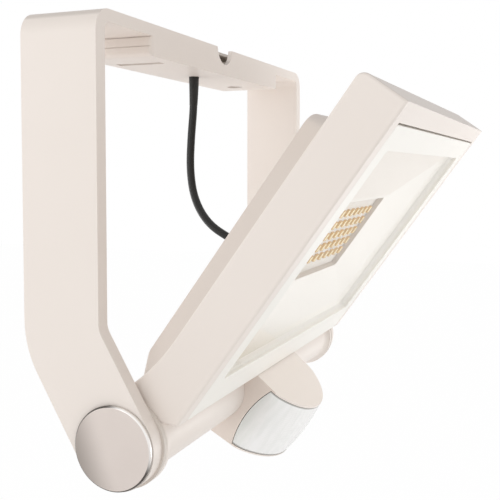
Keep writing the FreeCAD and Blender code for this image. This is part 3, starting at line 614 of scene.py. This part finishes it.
# %% Eased pieces
eased("bracket", "bracket", body_coat, 0.0007)
eased("head_housing", "head", body_coat, 0.0006)
eased("driver_cover", "head", shaded_cover_coat, 0.0008)
eased("pivot_tube", "head", body_coat, 0.0002)
eased("front_bezel", "head", bezel_plastic, 0.0003)
eased("reflector", "head", reflector_white, 0.0004, 3)
eased("sensor_housing", "sensor", sensor_plastic, 0.0003)
eased("sensor_back", "sensor", sensor_plastic, 0.0003)
eased("sensor_lens", "sensor", lens_finish, 0.0003)
for side in ("left", "right"):
    eased("end_cap_" + side, "bracket", cap_metal, 0.0002)
    eased("spacer_" + side, "bracket", spacer_plastic, 0.0003)
sleeve = sleeve_mesh()
smooth_between_edges(sleeve)
finished_piece("sleeve", sleeve, "bracket", relief_rubber, ["strain_relief_top"])

# %% [markdown]
# The emitters stand in eight columns and five rows. Each has a shallow frame whose top is hollowed, and a soft pad
# of phosphor that fills the hollow and swells a little above it, still inside the solid's own height.

# %% Emitters
led_columns = 8
led_rows = 5
led_pitch_across = 0.0120
led_pitch_up = 0.0092
led_centre_up = 0.1272
led_half_width = 0.0025
led_half_length = 0.0027
led_height = 0.0016
board_face = 0.0009
emitter_face = board_face - led_height
frame_rim = 0.0003
frame_hollow = 0.0003
pad_foot = 0.0008
pad_rounding = 0.00035
to_head = Matrix.Translation(pivot) @ Matrix.Rotation(head_lean, 4, "X")


def box_into(work, low, high):
    """Closed box between two corners."""
    made = bmesh.ops.create_cube(work, size=1.0)["verts"]
    size = [b - a for a, b in zip(low, high)]
    middle = [(a + b) / 2 for a, b in zip(low, high)]
    bmesh.ops.scale(work, vec=size, verts=made)
    bmesh.ops.translate(work, vec=middle, verts=made)
    return made


def emitter_places():
    for column in range(led_columns):
        for row in range(led_rows):
            yield (led_pitch_across * (column - (led_columns - 1) / 2),
                   led_centre_up + led_pitch_up * (row - (led_rows - 1) / 2))


def emitter_frames():
    """Frames with a hollow top, all in one mesh, in the head's own directions."""
    work = bmesh.new()
    for across, up in emitter_places():
        verts = box_into(work, (across - led_half_width, emitter_face, up - led_half_length),
                         (across + led_half_width, board_face, up + led_half_length))
        faces = {face for vert in verts for face in vert.link_faces}
        front = min(faces, key=lambda face: face.calc_center_median().y)
        bmesh.ops.inset_region(work, faces=[front], thickness=frame_rim)
        bmesh.ops.translate(work, vec=(0, frame_hollow, 0), verts=front.verts)
    return work


def emitter_pads():
    """Swollen pads of phosphor inside the frames."""
    work = bmesh.new()
    for across, up in emitter_places():
        half_width = led_half_width - frame_rim
        half_length = led_half_length - frame_rim
        verts = box_into(work, (across - half_width, emitter_face, up - half_length),
                         (across + half_width, board_face - pad_foot, up + half_length))
        faces = {face for vert in verts for face in vert.link_faces}
        front = min(faces, key=lambda face: face.calc_center_median().y)
        bmesh.ops.bevel(work, geom=list(front.edges), offset=pad_rounding, offset_type="OFFSET", segments=3,
                        profile=0.5, affect="EDGES", material=-1)
    return work


for name, work, material in (("emitter_frames", emitter_frames(), frame_amber),
                             ("emitter_pads", emitter_pads(), phosphor_yellow)):
    bmesh.ops.transform(work, matrix=to_head, verts=work.verts)
    mesh = bpy.data.meshes.new(name)
    work.to_mesh(mesh)
    work.free()
    smooth_between_edges(mesh)
    finished_piece(name, mesh, "head", material, ["led_chips"])
    print(name, len(mesh.polygons), "faces")

# %% [markdown]
# The pane lies under the lip of the front frame, bedded in a white bead that also hides its ground edge. The bead
# is flush with the lip, and its inner corners follow the rounded corners of the window.

# %% Pane and bead
window_corner = 0.003
pane_lap = 0.0015
pane_gap = 0.00005
pane_front = -0.0168
pane_back = -0.0135
bead_back = -0.0125
corner_steps = 6


def rounded_slab(work, grow, front, back, radius):
    """Slab with the window's outline grown by a margin, its four corners rounded."""
    verts = box_into(work, (-window_half_width - grow, front, window_bottom - grow),
                     (window_half_width + grow, back, window_top + grow))
    edges = {edge for vert in verts for edge in vert.link_edges}
    through = [edge for edge in edges if edge.verts[0].co.y != edge.verts[1].co.y]
    bmesh.ops.bevel(work, geom=through, offset=radius, offset_type="OFFSET", segments=corner_steps, profile=0.5,
                    affect="EDGES", material=-1)


def pane_mesh():
    work = bmesh.new()
    rounded_slab(work, -pane_gap, pane_front, pane_back, window_corner)
    return work


def bead_mesh():
    """Slab with its front and back inset, and what the insets leave in the middle cut through."""
    work = bmesh.new()
    rounded_slab(work, pane_lap, pane_front, bead_back, window_corner + pane_lap)
    flats = sorted(work.faces, key=lambda face: face.calc_area())[-2:]
    bmesh.ops.inset_region(work, faces=flats, thickness=pane_lap, use_even_offset=True)
    rims = list({edge for face in flats for edge in face.edges})
    bmesh.ops.delete(work, geom=flats, context="FACES_ONLY")
    bmesh.ops.bridge_loops(work, edges=rims)
    return work


for name, work, slot, material in (("pane", pane_mesh(), "clear_glass", glass_finish),
                                   ("bead", bead_mesh(), "seal_grey", seal_grey)):
    bmesh.ops.recalc_face_normals(work, faces=work.faces)
    bmesh.ops.transform(work, matrix=to_head, verts=work.verts)
    mesh = bpy.data.meshes.new(name)
    work.to_mesh(mesh)
    work.free()
    smooth_between_edges(mesh)
    finished_piece(name, mesh, "head", material, ["glass", "glass_seal"])
    print(name, len(mesh.polygons), "faces")

# %% [markdown]
# Small pieces whose solids are right as they are keep them, and only get their finish.

# %% Finishes on the solids
node_finishes = {
    "mounting_strip": strip_coat, "clamp_screw": screw_steel, "terminal_block": terminal_plastic,
    "terminal_screws": brass, "strain_relief_head": relief_rubber,
    "pivot_bolt_left": screw_steel, "pivot_bolt_right": screw_steel, "pivot_washer_left": screw_steel,
    "pivot_washer_right": screw_steel,
    "led_board": board_white, "board_screws": screw_steel,
    "driver": driver_plastic, "cover_seal": seal_grey, "cover_screws": screw_steel,
    "sensor_board": board_green, "pir_element": screw_steel, "time_dial": dial_plastic,
    "lux_dial": dial_plastic,
}
for node, material in node_finishes.items():
    mesh = nodes[node].data
    for index in range(len(mesh.materials)):
        mesh.materials[index] = material
print(len(node_finishes), "solids finished")

# %% [markdown]
# ## The studio
# The picture is a cut-out on white, lit softly from all round. The world is plain white to the camera and to mirror
# and see-through rays. What lights the lamp is a dome that is brightest and a touch warm at the horizon and dimmer
# overhead, as in a tent of white cloth.

# %% World
dome_horizon = (1.06, 1.045, 1.023, 1.0)
dome_overhead = (0.60, 0.59, 0.575, 1.0)
dome_strength = 0.92


def build_world():
    world = bpy.data.worlds.new("studio")
    bpy.context.scene.world = world
    sky = Nodes(world, "ShaderNodeOutputWorld")
    up = sky.axes(sky.node("ShaderNodeTexCoord", output="Generated"))[2]
    height = sky.node("ShaderNodeMapRange", {}, {0: up, 1: 0.0, 2: 1.0})
    dome = sky.node("ShaderNodeBackground", {}, {"Color": sky.blend(height, dome_horizon, dome_overhead),
                                                 "Strength": dome_strength})
    white = sky.node("ShaderNodeBackground", {}, {"Color": paint("#FFFFFF"), "Strength": 1.0})
    seen = sky.ray("Is Camera Ray").math("MAXIMUM", sky.ray("Is Transmission Ray"))
    shown = seen.math("MAXIMUM", sky.ray("Is Glossy Ray"))
    sky.surface(sky.node("ShaderNodeMixShader", {}, {0: shown, 1: dome, 2: white}))


build_world()
print("dome strength", dome_strength)

# %% [markdown]
# Three weak round lamps shape the pale surfaces: one from the left for the near arm and the side of the head, one
# from behind for the inside of the yoke and the tube, and one low in front, like light thrown back by a table, for
# the front frame and the lens.

# %% Lamps


def soft_light(name, place, target, size, power):
    data = bpy.data.lights.new(name, "AREA")
    data.shape = "DISK"
    data.size = size
    data.energy = power
    lamp = bpy.data.objects.new(name, data)
    lamp.location = place
    lamp.rotation_euler = (Vector(target) - Vector(place)).to_track_quat("-Z", "Y").to_euler()
    bpy.context.collection.objects.link(lamp)


centre = (0.0, -0.05, -0.14)
soft_light("left", (-1.2, 0.5, 0.2), centre, 1.0, 2.6)
soft_light("behind", (-0.1, 0.6, -0.35), (0.1, 0.0, -0.08), 0.6, 1.7)
soft_light("table", (0.4, -0.5, -0.465), (0.2, -0.3, 1.0), 0.7, 4.4)
print("three lamps placed")

# %% [markdown]
# The floor is a plain pale sheet below the lamp. Most of what the camera sees of it is its own white glow, so it
# melts into the background, and the rest takes the lamp's shadow. To other rays it glows a little, so it throws
# light back up.

# %% Floor
floor_colour = (0.9, 0.9, 0.9, 1.0)
floor_glow = 0.38
floor_glow_to_camera = 0.985
floor_level = -0.47
floor_size = 6.0
floor_work = bmesh.new()
bmesh.ops.create_grid(floor_work, x_segments=1, y_segments=1, size=floor_size / 2)
bmesh.ops.translate(floor_work, verts=floor_work.verts, vec=(0, 0, floor_level))
floor_mesh = bpy.data.meshes.new("floor")
floor_work.to_mesh(floor_mesh)
floor_work.free()
floor = bpy.data.objects.new("floor", floor_mesh)
bpy.context.collection.objects.link(floor)


def floor_finish():
    """Pale floor that looks white to the camera and still takes the lamp's shadow."""
    finish = Finish("floor_white", {"Base Color": floor_colour, "Roughness": 0.9})
    seen = finish.ray("Is Camera Ray")
    glow = finish.node("ShaderNodeEmission", {}, {"Color": paint("#FFFFFF"), "Strength": 1.0})
    share = floor_glow + seen * (floor_glow_to_camera - floor_glow)
    finish.surface(finish.node("ShaderNodeMixShader", {}, {0: share, 1: finish.shader, 2: glow}))
    return finish.material


floor_mesh.materials.append(floor_finish())
print("floor at", floor_level)

# %% [markdown]
# ## Finish
# The view is set to plain colours.

# %% Close
bpy.context.scene.view_settings.view_transform = "Standard"
